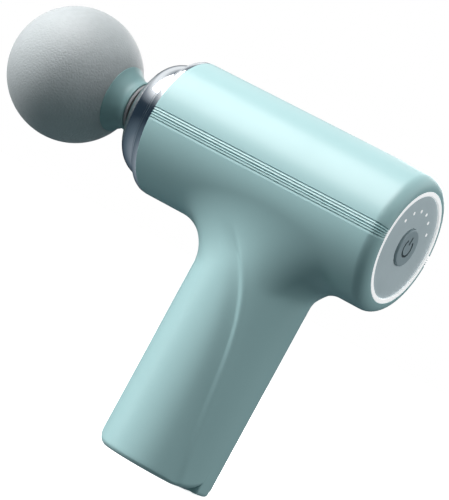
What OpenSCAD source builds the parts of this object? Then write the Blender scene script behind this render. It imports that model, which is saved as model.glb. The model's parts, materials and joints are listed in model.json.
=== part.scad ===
// Pocket massage gun: round barrel, upright handle, ball head on a reciprocating plunger.
// Frame: origin at the centre of the handle's flat end, +X towards the head, +Y the left side, +Z up.
// An upright motor turns a crank, whose roller runs in a slotted yoke and pushes the plunger along X.

/* [Barrel] */
// Diameter of the barrel
barrel_d = 46; // [45:0.5:48]
// Height of the barrel's axis above the flat end of the handle
axis_h = 97; // [96:0.5:104]
// From the handle's centre line forward to the front edge of the shells
barrel_front = 47.5; // [47:0.5:52]
// From the handle's centre line back to the rear edge of the shells
barrel_rear = 39.5; // [39.5:0.5:44]
// Radius of the rounded rear edge
rear_round = 4.3; // [4:0.1:5]
// Thickness of the shells
wall = 2.2; // [2:0.1:2.4]

/* [Handle] */
// Length of the oval handle, fore and aft
handle_l = 39.2; // [38.5:0.1:42]
// Width of the oval handle
handle_w = 34.5; // [34:0.1:38]
// Radius in the corner ahead of the handle, under the barrel
front_fillet = 12.8; // [8:0.1:14]
// Radius in the corner behind the handle, under the barrel
rear_fillet = 8; // [6:0.1:10]
// Radius of the two lower corners of the handle in side view
toe_round = 7.2; // [5:0.1:8]
// Width of the strap lug at the rear lower corner
lug_w = 8; // [6:0.5:10]

/* [Head] */
// Diameter of the ball
ball_d = 44.3; // [40:0.1:46]
// Centre of the ball ahead of the handle's centre line
ball_x = 90.9; // [90:0.1:94]
// Thickness of the ball's soft skin
skin_t = 1.8; // [1.5:0.1:3]
// Diameter of the plunger
plunger_d = 16; // [15:0.5:17]
// Diameter of the plunger's socket for the head's stem
socket_d = 11; // [10:0.5:11]

/* [Drive] */
// Distance of the crank pin from the motor's axis, half the stroke
crank_r = 3.5; // [3:0.1:3.5]
// Distance of the motor's axis behind the handle's centre line
motor_back = 7.5; // [7:0.5:7.5]
// Diameter of the motor's rotor
motor_d = 28; // [26:0.5:28]
// Diameter of the crank's roller
roller_d = 9; // [8:0.5:9]

/* [Power] */
// Diameter of a battery cell
cell_d = 16; // [14:0.5:16]
// Length of a battery cell
cell_l = 50; // [45:1:50]
// Diameter of the power button
button_d = 12.2; // [11:0.1:13]
// Number of level lights in the arc
light_count = 6; // [4:1:6]
// Radius of the arc of level lights
light_arc_r = 12; // [11.5:0.1:12.5]

/* [Hidden] */

mint = [0.66, 0.83, 0.84];
white = [0.96, 0.97, 0.97];
panel_grey = [0.6, 0.67, 0.69];
button_grey = [0.44, 0.5, 0.52];
ball_grey = [0.66, 0.7, 0.71];
chrome_tone = [0.84, 0.87, 0.89];
steel_tone = [0.6, 0.61, 0.63];
black_tone = [0.1, 0.11, 0.12];

round_fn = 96;       // sides drawn for a turned surface
small_fn = 32;       // sides drawn for a small round
cut = 0.5;           // how far a cutting shape runs past the face that it opens
gap = 0.1;           // clearance between neighbouring fixed pieces
running = 0.03;      // radial clearance of a running fit
loose = 0.3;         // clearance of a moving piece that is not guided

barrel_r = barrel_d / 2;
inner_r = barrel_r - wall;
panel_r = 17.2;
trim_r = 18.75;
lip_r = 15.6;                          // bore of the shells' rear lip
lip_back = barrel_rear - 2.3;          // rear face of the lip, behind the centre line
lip_front = lip_back - wall;
panel_back = barrel_rear - 0.5;          // outer face of the panel
panel_t = 1.7;
groove_count = 5;
groove_pitch = 0.85;
groove_w = 0.42;
groove_depth = 0.35;

screw_r = 0.95;                        // shank of the small screws
pilot_r = 1;
head_r = 1.6;
head_h = 1;
boss_r = 2.5;
nose_screw_at = 17;                    // distance of the nose screws from the barrel's axis
rear_screw_at = 17.1;
screw_angles = [45, 135, 225, 315];

flange_x = barrel_front;               // rear face of the nose flange
flange_t = 2.3;
flange_boss_r = 19.3;
flange_bore = 14.6;
bezel_x = flange_x + flange_t + gap;
bezel_ring_r = 20.4;                   // narrow ring behind the bezel's dome
bezel_ring_end = flange_x + 3.9;
dome_x = bezel_ring_end + 0.1;         // where the dome starts
dome_l = 7.1;                          // the dome's section is a quarter of an oval
dome_r = 14.9;
dome_rise = 4.75;
seal_x = flange_x + 2.75;
seal_t = 0.9;

plunger_r = plunger_d / 2;
socket_r = socket_d / 2;
plunger_rear = 12;
plunger_front = flange_x + 15.9;
socket_rear = 43;
tail_bore = 6.3;                       // hollow of the plunger behind the socket
guide_rear = 15;
guide_front = flange_x - gap;
guide_r = 13.6;
guide_bore = plunger_r + 1.2;
bush_r = plunger_r + 2.2;
bush_l = 7;
rear_bush_x = 16;
front_bush_x = guide_front - bush_l - 0.6;
damper_w = 3;
damper_x = [22, 34];

collar_x = plunger_front + 1.2;
collar_base_r = 8.5;
collar_flare_r = 11.2;
neck_r = 7.8;                          // neck of the ball's core, inside the collar
core_r = ball_d / 2 - skin_t;
core_t = 1.3;
stem_r = 4.2;
stem_rear = socket_rear + 1;
sleeve_rear = stem_rear + 7;

motor_x = -motor_back;
motor_r = motor_d / 2;
bell_base = axis_h - 20.3;
bell_top = axis_h - 6.2;
bell_t = 1.2;
bell_roof = 1.5;
magnet_t = 1;
air_gap = 0.4;
stator_r = motor_r - bell_t - magnet_t - air_gap;
stator_z = bell_base + 1.7;
stator_h = 9.6;
tooth_count = 12;
core_hub_r = 5.6;
bearing_tube_r = 5.2;
bearing_r = 4;
bearing_w = 3;
shaft_r = 1.5;
motor_plate_t = 2;
motor_plate_r = 11.8;
motor_plate_z = bell_base - 0.6 - motor_plate_t;
bracket_t = 2.2;
bracket_z = motor_plate_z - bracket_t;
bracket_r = 11.6;
bracket_wall_x = plunger_rear;
bracket_wall_t = guide_rear - plunger_rear - gap;
bracket_wall_r = inner_r - 1;
bracket_screw_at = 12;
motor_screw_at = 8.6;
wheel_r = 11.5;
wheel_z = bell_top + 0.4;
wheel_h = 3.3;
roller_r = roller_d / 2;
yoke_h = 3.2;
yoke_play = 0.8;                       // slot wider than the roller, for the sine against the straight line
yoke_slot_x = roller_r + yoke_play;
yoke_slot_y = roller_r + crank_r + 0.5;
yoke_rim = 2.5;
yoke_disc_x = 10.4;

cell_r = cell_d / 2;
cell_z = 14;
cell_x = cell_r + 0.25;                // half the distance between the cells
pack_x = -0.6;                         // middle of the battery pack
holder_t = 2.3;
holder_r = 8.4;
rail_w = 3.2;
strip_t = 0.2;

floor_t = 2.4;
plate_r = 10;
plate_rear = -4.2;
plate_front = 1;
plate_t = 2.2;
base_screw_x = [-10.8, 7.6];
usb_x = -4;
usb_l = 8.94;
usb_w = 3.16;
usb_h = 7.3;
usb_z = 0.4;
usb_wall = 0.3;
usb_board_t = 1;

carrier_plate_r = lip_r - 0.2;
carrier_x = -(panel_back - panel_t) + gap;         // rear face of the carrier's plate
carrier_step = -lip_front + gap;                   // rear face of the carrier's flange
carrier_t = 2;
carrier_r = inner_r - 0.9;
carrier_front = carrier_step + carrier_t;
button_r = button_d / 2;
button_travel = 0.8;
button_proud = 0.75;
button_flange_r = button_r + 1.1;
button_flange_t = 0.7;
button_stem_r = 1.6;
switch_x = carrier_front + 0.2;
switch_t = 2.9;
switch_w = 6;
switch_pin_r = 1.7;
switch_pin_x = switch_x - 1.5;
switch_pin_l = 2.6;
board_x = switch_x + switch_t;
board_t = 1.6;
board_r = 16.8;
board_screw_angles = [-60, 0, 60];
board_screw_at = 12.5;
light_r = 0.55;
light_step = 22.4;
light_angles = [for (i = [0:light_count - 1]) 180 + (i - (light_count - 1) / 2) * light_step];
led_t = 0.7;

ring_sides = 48;                       // points round each section of the handle
flare_steps = 12;                      // sections through the flare under the barrel
flare_h = 24;                          // height over which the handle opens into the barrel
flare_side = 2.6;                      // how far the handle's sides open there
flare_overlap = 0.2;                   // how far the flare's rim lies inside the barrel's wall
blend_h = 6;                           // how far the handle's solid runs up inside the barrel

// ---- helpers ----

// Points of an arc, from angle a0 to a1, with n steps.
function arc(x, y, r, a0, a1, n) = [
    for (i = [0:n]) let (a = a0 + (a1 - a0) * i / n) [x + r * cos(a), y + r * sin(a)]
];

// Local Z runs along the barrel towards the head and local X points down.
module on_axis() translate([0, 0, axis_h]) rotate([0, 90, 0]) children();

// A turned piece about the barrel's axis, from points [x, radius].
module turned(points) on_axis() rotate_extrude($fn = round_fn) polygon([for (p = points) [p[1], p[0]]]);

// A round bar on the barrel's axis, from x0 to x1.
module bar(x0, x1, r) on_axis() translate([0, 0, x0]) cylinder(r = r, h = x1 - x0, $fn = round_fn);

// A tube on the barrel's axis.
module tube(x0, x1, r, bore) turned([[x0, bore], [x0, r], [x1, r], [x1, bore]]);

// Places its children round the barrel's axis, at x, a radius and an angle from straight down.
module around(x, at, angle) on_axis() rotate([0, 0, angle]) translate([at, 0, x]) children();

module disc(r, h) cylinder(r = r, h = h, $fn = small_fn);

// A pan-head screw along local Z: its head lies under z = 0 and its shank above.
module screw(l) {
    translate([0, 0, -head_h]) disc(head_r, head_h);
    disc(screw_r, l);
}

module on_motor(z) translate([motor_x, 0, z]) children();

// A flat shape with two round ends, along X.
module stadium(x0, x1, r) {
    translate([x0, -r]) square([x1 - x0, 2 * r]);
    for (x = [x0, x1]) translate([x, 0]) circle(r = r, $fn = round_fn);
}

// ---- shells ----

// How far the corner under the barrel stands out at height w, for a fillet that ends at height top.
function fillet(w, top, r) = w <= top - r ? 0 : r - sqrt(max(0, r * r - pow(w - top + r, 2)));

// Height of the barrel's underside, of radius r, at the side offset y.
function underside(y, r) = axis_h - sqrt(r * r - y * y);

// One section of the handle, inset from its outside. lift raises it past the barrel's surface.
function section(w, inset, lift) = let (
    r = barrel_r - inset,
    top = axis_h - r,
    climb = pow(max(0, 1 - (top - w) / flare_h), 2),
    half_w = handle_w / 2 - inset + flare_side * climb,
    front = handle_l / 2 - inset + fillet(w, top, front_fillet + inset),
    rear = handle_l / 2 - inset + fillet(w, top, rear_fillet + inset)
) [
    for (i = [0:ring_sides - 1]) let (
        a = 360 * i / ring_sides,
        x = cos(a) * (cos(a) > 0 ? front : rear),
        y = sin(a) * half_w
    ) [x, y, w + climb * (underside(y, r) - top + flare_overlap) + lift]
];

// The handle's solid, from a height up into the barrel.
module handle_solid(from, inset) {
    top = axis_h - barrel_r + inset;
    levels = [for (i = [0:flare_steps]) top - flare_h * pow(1 - i / flare_steps, 2)];
    rings = concat(
        [section(from, inset, 0)],
        [for (w = levels) section(w, inset, 0)],
        [section(top, inset, blend_h)]
    );
    n = ring_sides;
    last = len(rings) - 1;
    points = [for (ring = rings, p = ring) p];
    sides = [
        for (j = [0:last - 1], i = [0:n - 1]) let (k = (i + 1) % n)
        each [
            [j * n + i, (j + 1) * n + i, (j + 1) * n + k],
            [j * n + i, (j + 1) * n + k, j * n + k]
        ]
    ];
    foot = [[for (i = [0:n - 1]) i]];
    crown = [for (i = [1:n - 2]) [last * n, last * n + i + 1, last * n + i]];
    polyhedron(points = points, faces = concat(sides, foot, crown));
}

// The barrel, hollow, with the lip that carries the rear panel.
module barrel_tube() {
    round_x = -barrel_rear + rear_round;
    round_at = barrel_r - rear_round;
    rim_angle = 180 - asin((trim_r + gap / 2 - round_at) / rear_round);
    turned(concat(
        [[barrel_front, inner_r], [barrel_front, barrel_r]],
        arc(round_x, round_at, rear_round, 90, rim_angle, 8),
        [
            [-lip_back, trim_r + gap / 2], [-lip_back, lip_r], [-lip_front, lip_r],
            [-lip_front, inner_r]
        ]
    ));
}

// Fine grooves along both sides at the height of the axis. The shells part in the middle one.
module side_grooves() {
    for (side = [-1, 1], i = [0:groove_count - 1])
        translate([
            -barrel_rear, side * (barrel_r - groove_depth / 2) - groove_depth,
            axis_h + (i - (groove_count - 1) / 2) * groove_pitch - groove_w / 2
        ]) cube([barrel_rear + barrel_front + cut, 2 * groove_depth, groove_w]);
}

// Bosses that take the nose screws, on the shell's wall.
module nose_bosses(angles) {
    for (a = angles) {
        around(guide_front - 8, nose_screw_at, a) disc(boss_r, 8);
        around(guide_front - 8, nose_screw_at, a) translate([0, -1, 0]) cube([inner_r + 1 - nose_screw_at, 2, 8]);
    }
}

module shell_screw_holes() {
    for (a = screw_angles) {
        around(guide_front - 7, nose_screw_at, a) disc(pilot_r, 7 + cut);
        around(-lip_back - cut, rear_screw_at, a) disc(pilot_r + 0.1, wall + 2 * cut);
        around(-lip_back - cut, rear_screw_at, a) disc(head_r + 0.1, head_h + 0.1 + cut);
    }
}

module upper_housing() {
    color(mint) difference() {
        intersection() {
            union() {
                barrel_tube();
                nose_bosses([135, 225]);
            }
            translate([-barrel_rear - cut, -barrel_d, axis_h + gap / 2])
                cube([barrel_front + barrel_rear + 2 * cut, 2 * barrel_d, barrel_d]);
        }
        side_grooves();
        shell_screw_holes();
    }
}

// The handle's outline in side view, as a slab across the whole width.
module handle_outline() {
    rotate([90, 0, 0]) linear_extrude(height = 2 * handle_w, center = true) {
        translate([0, toe_round]) stadium(toe_round - handle_l / 2, handle_l / 2 - toe_round, toe_round);
        translate([-barrel_rear, toe_round]) square([barrel_rear + barrel_front, axis_h]);
    }
}

// Strap lug that fills the rear lower corner between the rounded sides. Its back is round in plan.
module strap_lug() {
    lug_round = 1.4;
    lug_rise = 0.4;
    depth = toe_round + 1;
    plan_r = handle_w * handle_w / 2 / handle_l;
    intersection() {
        translate([0, lug_w / 2, 0]) rotate([90, 0, 0]) linear_extrude(height = lug_w) {
            translate([-handle_l / 2 + lug_round, lug_rise]) square([depth, toe_round]);
            translate([-handle_l / 2, lug_rise + lug_round]) square([depth, toe_round]);
            translate([-handle_l / 2 + lug_round, lug_rise + lug_round]) circle(r = lug_round, $fn = small_fn);
        }
        translate([plan_r - handle_l / 2 + gap, 0, -cut]) cylinder(r = plan_r, h = 3 * toe_round, $fn = round_fn);
    }
}

module lower_housing() {
    color(mint) difference() {
        union() {
            intersection() {
                union() {
                    barrel_tube();
                    nose_bosses([45, 315]);
                }
                translate([-barrel_rear - cut, -barrel_d, axis_h - barrel_d])
                    cube([barrel_front + barrel_rear + 2 * cut, 2 * barrel_d, barrel_d - gap / 2]);
            }
            difference() {
                intersection() {
                    handle_solid(0, 0);
                    handle_outline();
                }
                bar(-barrel_rear, barrel_front, inner_r);
            }
            strap_lug();
        }
        handle_solid(floor_t, wall);
        side_grooves();
        shell_screw_holes();
        translate([0, 0, -cut]) linear_extrude(height = floor_t + 2 * cut)
            stadium(plate_rear, plate_front, plate_r + gap);
    }
}

// ---- nose ----

module nose_flange() {
    rim = flange_x + flange_t;
    color(chrome_tone) difference() {
        turned([
            [flange_x, flange_bore], [flange_x, barrel_r - 0.1], [flange_x + 1.2, barrel_r - 0.15],
            [flange_x + 1.3, barrel_r - 0.4], [rim - 0.5, barrel_r - 0.5], [rim - 0.15, barrel_r - 0.65],
            [rim, barrel_r - 0.95], [rim, flange_boss_r], [flange_x + 2.7, flange_boss_r],
            [flange_x + 2.7, flange_bore]
        ]);
        for (a = screw_angles) {
            around(flange_x - cut, nose_screw_at, a) disc(pilot_r + 0.1, 4);
            around(flange_x + 1.6, nose_screw_at, a) disc(head_r + 0.1, 2);
        }
    }
}

module nose_bezel() {
    hollow_r = flange_boss_r + gap;
    bore = flange_bore - 0.2;
    color(chrome_tone) turned(concat(
        [
            [bezel_x, hollow_r], [bezel_x, bezel_ring_r - 0.2], [bezel_x + 0.2, bezel_ring_r],
            [bezel_ring_end - 0.2, bezel_ring_r], [bezel_ring_end, bezel_ring_r - 0.2],
            [bezel_ring_end, dome_r + dome_rise - 0.25]
        ],
        [for (i = [0:18]) [dome_x + dome_l * sin(i * 5), dome_r + dome_rise * cos(i * 5)]],
        [
            [dome_x + dome_l - 0.25, bore], [seal_x + seal_t + 0.1, bore],
            [seal_x + seal_t + 0.1, hollow_r]
        ]
    ));
}

module dust_seal() {
    color(black_tone) turned([
        [seal_x, plunger_r + loose + 0.3], [seal_x, flange_boss_r], [seal_x + seal_t, flange_boss_r],
        [seal_x + seal_t, plunger_r + 2], [seal_x + seal_t + 0.7, plunger_r + loose + 0.2],
        [seal_x + seal_t + 0.7, plunger_r + loose]
    ]);
}

module nose_screws() {
    color(steel_tone) for (a = screw_angles)
        around(flange_x + 1.6, nose_screw_at, a) rotate([180, 0, 0]) screw(7);
}

// ---- rear panel ----

module rear_trim_ring() {
    color(white) tube(-barrel_rear, -lip_back - gap, trim_r, panel_r + 0.05);
}

module light_holes(x0, x1, r) {
    for (a = light_angles) around(x0, light_arc_r, a) disc(r, x1 - x0);
}

module rear_panel() {
    color(panel_grey) difference() {
        bar(-panel_back, -panel_back + panel_t, panel_r);
        bar(-panel_back - cut, -panel_back + panel_t + cut, button_r + 0.15);
        light_holes(-panel_back - cut, -panel_back + panel_t + cut, light_r + 0.05);
        for (a = screw_angles)
            around(-lip_back - gap - head_h, rear_screw_at, a) disc(head_r + 0.2, 2);
    }
}

module panel_carrier() {
    pocket_x = carrier_x + button_flange_t + button_travel + 0.2;
    color(black_tone) difference() {
        union() {
            bar(carrier_x, carrier_step, carrier_plate_r);
            bar(carrier_step, carrier_front, carrier_r);
            for (a = screw_angles) around(carrier_step + 0.5, rear_screw_at, a) disc(2.2, carrier_t + 3.3);
            for (a = board_screw_angles)
                around(carrier_step + 0.5, board_screw_at, a) disc(2, board_x - carrier_step - 0.5);
        }
        bar(carrier_x - cut, pocket_x, button_flange_r + 0.4);
        bar(carrier_x, carrier_front + cut, button_stem_r + 0.6);
        light_holes(carrier_x - cut, carrier_front + cut, light_r + 0.05);
        for (a = screw_angles) around(carrier_step - cut, rear_screw_at, a) disc(pilot_r, 5.4);
        for (a = board_screw_angles) around(carrier_front + 0.4, board_screw_at, a) disc(pilot_r, 4);
    }
}

module power_button() {
    flange_at = carrier_x + button_flange_t;
    color(button_grey) {
        turned([
            [-panel_back - button_proud, 0], [-panel_back - button_proud, button_r - 0.4],
            [-panel_back - button_proud + 0.4, button_r], [carrier_x, button_r],
            [carrier_x, button_flange_r], [flange_at, button_flange_r],
            [flange_at, button_stem_r], [switch_pin_x, button_stem_r], [switch_pin_x, 0]
        ]);
    }
}

module level_light_windows() {
    color(white) light_holes(-panel_back - 0.08, board_x - led_t - gap, light_r);
}

module level_leds() {
    color("ivory") for (a = light_angles)
        around(board_x - led_t, light_arc_r, a) translate([-0.5, -0.8, 0]) cube([1, 1.6, led_t]);
}

module control_board() {
    color([0.1, 0.35, 0.2]) difference() {
        bar(board_x, board_x + board_t, board_r);
        for (a = screw_angles) around(board_x - cut, rear_screw_at, a) disc(2.6, board_t + 2 * cut);
        for (a = board_screw_angles) around(board_x - cut, board_screw_at, a) disc(pilot_r + 0.1, board_t + 2 * cut);
    }
}

// What stands on the board's front: controller, driver, capacitor and the two connectors.
module board_parts() {
    face = board_x + board_t;
    color([0.2, 0.2, 0.22]) {
        around(face, 0, 0) translate([-3.5, -3.5, 0]) cube([7, 7, 1]);
        for (y = [-9, 5]) around(face, 0, 0) translate([-8.5, y, 0]) cube([3.8, 4, 1.1]);
        around(face, 9.5, 90) disc(2.5, 6);
        for (y = [-8.5, 3.5]) around(face, 0, 0) translate([5.2, y, 0]) cube([4, 5, 4.2]);
    }
}

module tact_switch() {
    color(steel_tone) difference() {
        around(switch_x, 0, 0) translate([-switch_w / 2, -switch_w / 2, 0]) cube([switch_w, switch_w, switch_t]);
        bar(switch_x - cut, switch_x + 2.2, switch_pin_r + 0.05);
    }
}

module switch_plunger() {
    color(black_tone) bar(switch_pin_x, switch_pin_x + switch_pin_l, switch_pin_r);
}

module rear_screws() {
    color(steel_tone) for (a = screw_angles)
        around(-lip_back + head_h, rear_screw_at, a) screw(6);
}

module board_screws() {
    color(steel_tone) for (a = board_screw_angles)
        around(board_x + board_t, board_screw_at, a) rotate([180, 0, 0]) screw(4.2);
}

// ---- motor and crank ----

module motor_bracket() {
    color([0.55, 0.56, 0.58]) difference() {
        union() {
            translate([0, 0, bracket_z]) linear_extrude(height = bracket_t) {
                stadium(motor_x + 2, 6, bracket_r);
                translate([0, -11]) square([bracket_wall_x + bracket_wall_t, 22]);
            }
            translate([bracket_wall_x, -11, bracket_z]) cube([bracket_wall_t, 22, axis_h - bracket_z]);
            bar(bracket_wall_x, bracket_wall_x + bracket_wall_t, bracket_wall_r);
        }
        bar(bracket_wall_x - cut, guide_rear, plunger_r + 1.5);
        for (a = screw_angles) around(bracket_wall_x - cut, bracket_screw_at, a) disc(pilot_r + 0.1, 4);
        on_motor(bracket_z - cut) disc(6, bracket_t + 2 * cut);
        for (a = screw_angles) on_motor(bracket_z - cut) rotate([0, 0, a]) translate([motor_screw_at, 0, 0])
            disc(pilot_r + 0.1, bracket_t + 2 * cut);
    }
}

module motor_base() {
    color(chrome_tone) difference() {
        union() {
            on_motor(motor_plate_z) cylinder(r = motor_plate_r, h = motor_plate_t, $fn = round_fn);
            on_motor(motor_plate_z) disc(bearing_tube_r, stator_z + stator_h - motor_plate_z);
        }
        on_motor(motor_plate_z - cut) disc(bearing_r - 1, bell_top - motor_plate_z);
        on_motor(motor_plate_z - cut) disc(bearing_r, bearing_w + cut);
        on_motor(stator_z + stator_h - bearing_w) disc(bearing_r, bearing_w + cut);
        for (a = screw_angles) on_motor(motor_plate_z - cut) rotate([0, 0, a])
            translate([motor_screw_at, 0, 0]) disc(pilot_r, motor_plate_t + 2 * cut);
    }
}

module motor_bearings() {
    color(steel_tone) for (z = [motor_plate_z, stator_z + stator_h - bearing_w]) on_motor(z) difference() {
        disc(bearing_r, bearing_w);
        translate([0, 0, -cut]) disc(shaft_r + running, bearing_w + 2 * cut);
        for (side = [-cut, bearing_w - 0.3]) translate([0, 0, side]) difference() {
            disc(bearing_r - 0.7, 0.3 + cut);
            disc(shaft_r + 0.7, 0.3 + cut);
        }
    }
}

// Laminated core: a hub, twelve teeth and their wide tips.
module motor_stator() {
    color([0.45, 0.42, 0.4]) on_motor(stator_z) linear_extrude(height = stator_h) difference() {
        union() {
            circle(r = core_hub_r + 1, $fn = round_fn);
            for (i = [0:tooth_count - 1]) rotate(i * 360 / tooth_count)
                translate([core_hub_r, -0.8]) square([stator_r - core_hub_r - 0.3, 1.6]);
            difference() {
                circle(r = stator_r, $fn = round_fn);
                circle(r = stator_r - 1.2, $fn = round_fn);
                for (i = [0:tooth_count - 1]) rotate((i + 0.5) * 360 / tooth_count)
                    translate([0, -0.6]) square([motor_r, 1.2]);
            }
        }
        circle(r = bearing_tube_r + 0.02, $fn = round_fn);
    }
}

// A coil round each tooth.
module motor_windings() {
    coil_w = 3.3;
    coil_l = 2.9;
    overhang = 1.1;
    color([0.72, 0.42, 0.2]) for (i = [0:tooth_count - 1])
        on_motor(stator_z - overhang) rotate([0, 0, i * 360 / tooth_count])
            translate([core_hub_r + 1.15, 0, 0]) difference() {
                translate([0, -coil_w / 2, 0]) cube([coil_l - 0.1, coil_w, stator_h + 2 * overhang]);
                translate([-cut, -0.85, overhang - 0.05]) cube([coil_l + 2 * cut, 1.7, stator_h + 0.1]);
            }
}

module rotor_bell() {
    color(steel_tone) difference() {
        on_motor(bell_base) cylinder(r = motor_r, h = bell_top - bell_base, $fn = round_fn);
        on_motor(bell_base - cut)
            cylinder(r = motor_r - bell_t, h = bell_top - bell_base - bell_roof + cut, $fn = round_fn);
        on_motor(bell_base) disc(shaft_r, bell_top);
        for (i = [0:5]) on_motor(bell_top - bell_roof - cut) rotate([0, 0, i * 60 + 30])
            translate([8, 0, 0]) disc(2, bell_roof + 2 * cut);
    }
}

module rotor_magnets() {
    pole_gap = 0.4;
    color([0.3, 0.3, 0.33]) difference() {
        on_motor(stator_z - 0.5) cylinder(r = motor_r - bell_t - 0.02, h = stator_h + 1, $fn = round_fn);
        on_motor(stator_z - 1) cylinder(r = motor_r - bell_t - magnet_t, h = stator_h + 2, $fn = round_fn);
        for (i = [0:6]) on_motor(stator_z - 1) rotate([0, 0, (i + 0.5) * 180 / 7])
            translate([-motor_r, -pole_gap / 2, 0]) cube([motor_d, pole_gap, stator_h + 2]);
    }
}

module motor_shaft() {
    color(chrome_tone) on_motor(motor_plate_z + 0.3) disc(shaft_r, wheel_z + wheel_h - motor_plate_z - 0.3);
}

// The wheel carries its balance weight opposite the pin.
module crank_wheel() {
    color(steel_tone) difference() {
        on_motor(wheel_z) cylinder(r = wheel_r, h = wheel_h, $fn = round_fn);
        on_motor(wheel_z - cut) disc(shaft_r, wheel_h + 2 * cut);
        on_motor(wheel_z + 1) translate([0, -crank_r, 0]) disc(shaft_r, wheel_h);
        for (a = [190, 230, 310, 350]) on_motor(wheel_z + 1) rotate([0, 0, a]) translate([8, 0, 0])
            disc(2.2, wheel_h);
    }
}

module crank_pin() {
    color(chrome_tone) on_motor(wheel_z + 1) translate([0, -crank_r, 0])
        disc(shaft_r, axis_h + yoke_h / 2 + 0.4 - wheel_z - 1);
}

module crank_roller() {
    color(steel_tone) on_motor(axis_h - yoke_h / 2 - gap) translate([0, -crank_r, 0]) difference() {
        disc(roller_r, yoke_h + 2 * gap);
        translate([0, 0, -cut]) disc(shaft_r + 0.01, yoke_h + 2 * cut + 2 * gap);
    }
}

module motor_screws() {
    color(steel_tone) for (a = screw_angles)
        on_motor(bracket_z) rotate([0, 0, a]) translate([motor_screw_at, 0, 0]) screw(bracket_t + motor_plate_t);
}

module bracket_screws() {
    color(steel_tone) for (a = screw_angles)
        around(bracket_wall_x, bracket_screw_at, a) screw(bracket_wall_t + 5);
}

// ---- plunger and its guide ----

// The slotted cross-head: a flat frame round the roller, a neck and a disc on the plunger's end.
module drive_yoke() {
    half_x = yoke_slot_x + yoke_rim;
    half_y = yoke_slot_y + yoke_rim;
    color([0.5, 0.5, 0.52]) {
        translate([0, 0, axis_h - yoke_h / 2]) linear_extrude(height = yoke_h) difference() {
            union() {
                translate([motor_x - half_x, -half_y]) square([2 * half_x, 2 * half_y]);
                translate([motor_x, -5]) square([yoke_disc_x - motor_x, 10]);
            }
            translate([motor_x - yoke_slot_x, -yoke_slot_y]) square([2 * yoke_slot_x, 2 * yoke_slot_y]);
        }
        bar(yoke_disc_x, plunger_rear, plunger_r - 0.6);
        bar(plunger_rear, plunger_rear + 6, 4);
    }
}

module plunger() {
    color([0.36, 0.35, 0.34]) difference() {
        turned([
            [plunger_rear, 4 + running], [plunger_rear, plunger_r - 0.4], [plunger_rear + 0.4, plunger_r],
            [plunger_front - 0.4, plunger_r], [plunger_front, plunger_r - 0.4],
            [plunger_front, socket_r], [socket_rear, socket_r], [socket_rear, 0],
            [socket_rear - 2, 0], [socket_rear - 2, tail_bore], [plunger_rear + 8, tail_bore],
            [plunger_rear + 7, 4 + running]
        ]);
    }
}

module guide_housing() {
    color([0.3, 0.31, 0.33]) difference() {
        turned([
            [guide_rear, guide_bore], [guide_rear, guide_r], [guide_front, guide_r],
            [guide_front, guide_bore]
        ]);
        bar(rear_bush_x, rear_bush_x + bush_l, bush_r);
        bar(guide_rear - cut, rear_bush_x + 1, bush_r - 0.8);
        bar(front_bush_x, guide_front + cut, bush_r);
        for (a = screw_angles) around(guide_rear - cut, bracket_screw_at, a) disc(pilot_r, 6);
    }
}

module bush(x) tube(x, x + bush_l, bush_r, plunger_r + running);

module front_bush() color([0.85, 0.82, 0.7]) bush(front_bush_x);

module rear_bush() color([0.85, 0.82, 0.7]) bush(rear_bush_x);

// Rubber rings that hold the guide in the shells and take up its shake.
module damper_rings() {
    color(black_tone) for (x = damper_x) difference() {
        tube(x, x + damper_w, inner_r - 0.05, guide_r);
        for (i = [0:11]) around(x - cut, (inner_r + guide_r) / 2, i * 30) disc(2.6, damper_w + 2 * cut);
    }
}

// ---- head ----

module head_stem() {
    color(white) turned([
        [stem_rear, 0], [stem_rear, socket_r - 0.7], [stem_rear + 0.7, socket_r - 0.05],
        [sleeve_rear, socket_r - 0.05], [sleeve_rear, stem_r], [collar_x + 4, stem_r], [collar_x + 4, 0]
    ]);
}

module stem_sleeve() {
    color([0.35, 0.37, 0.39]) turned([
        [sleeve_rear, stem_r], [sleeve_rear, socket_r - 0.05], [plunger_front + 0.1, socket_r - 0.05],
        [plunger_front + 0.1, plunger_r + 0.2], [collar_x - gap, plunger_r + 0.2], [collar_x - gap, stem_r]
    ]);
}

// Flared foot of the ball, concave outside and hollowed to the ball's curve.
module head_collar() {
    flare_x = ball_x - sqrt(pow(ball_d / 2, 2) - pow(collar_flare_r, 2));
    color(mint) difference() {
        turned(concat(
            [[collar_x, stem_r + 0.02], [collar_x, collar_base_r - 0.3], [collar_x + 0.3, collar_base_r]],
            [
                for (i = [1:8]) let (t = i / 8)
                [collar_x + 0.3 + (flare_x - collar_x - 0.3) * t,
                    collar_base_r + (collar_flare_r - collar_base_r) * pow(t, 2)]
            ],
            [[flare_x + 3, collar_flare_r - 1], [flare_x + 3, stem_r + 0.02]]
        ));
        translate([ball_x, 0, axis_h]) sphere(r = ball_d / 2 + 0.02, $fn = round_fn);
        bar(collar_x + 4, ball_x, neck_r + 0.02);
    }
}

// Hollow core of the ball, with the neck that the collar holds.
module ball_core() {
    color(white) difference() {
        union() {
            translate([ball_x, 0, axis_h]) sphere(r = core_r, $fn = round_fn);
            bar(collar_x + 4, ball_x - core_r + 3, neck_r);
        }
        translate([ball_x, 0, axis_h]) sphere(r = core_r - core_t, $fn = round_fn);
    }
}

module ball_skin() {
    outer_r = ball_d / 2;
    hollow_r = core_r + 0.02;
    hole_r = neck_r + 0.02;
    color(ball_grey) turned(concat(
        arc(ball_x, 0, outer_r, 180 - asin(hole_r / outer_r), 0, 40),
        arc(ball_x, 0, hollow_r, 0, 180 - asin(hole_r / hollow_r), 40)
    ));
}

// ---- battery, charging socket and base ----

module cell() {
    translate([0, 0, cell_z]) cylinder(r = cell_r, h = cell_l - 1, $fn = round_fn);
    translate([0, 0, cell_z + cell_l - 1]) disc(2.8, 1);
}

module battery_cell_front() color([0.2, 0.45, 0.6]) translate([pack_x + cell_x, 0, 0]) cell();

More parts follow.
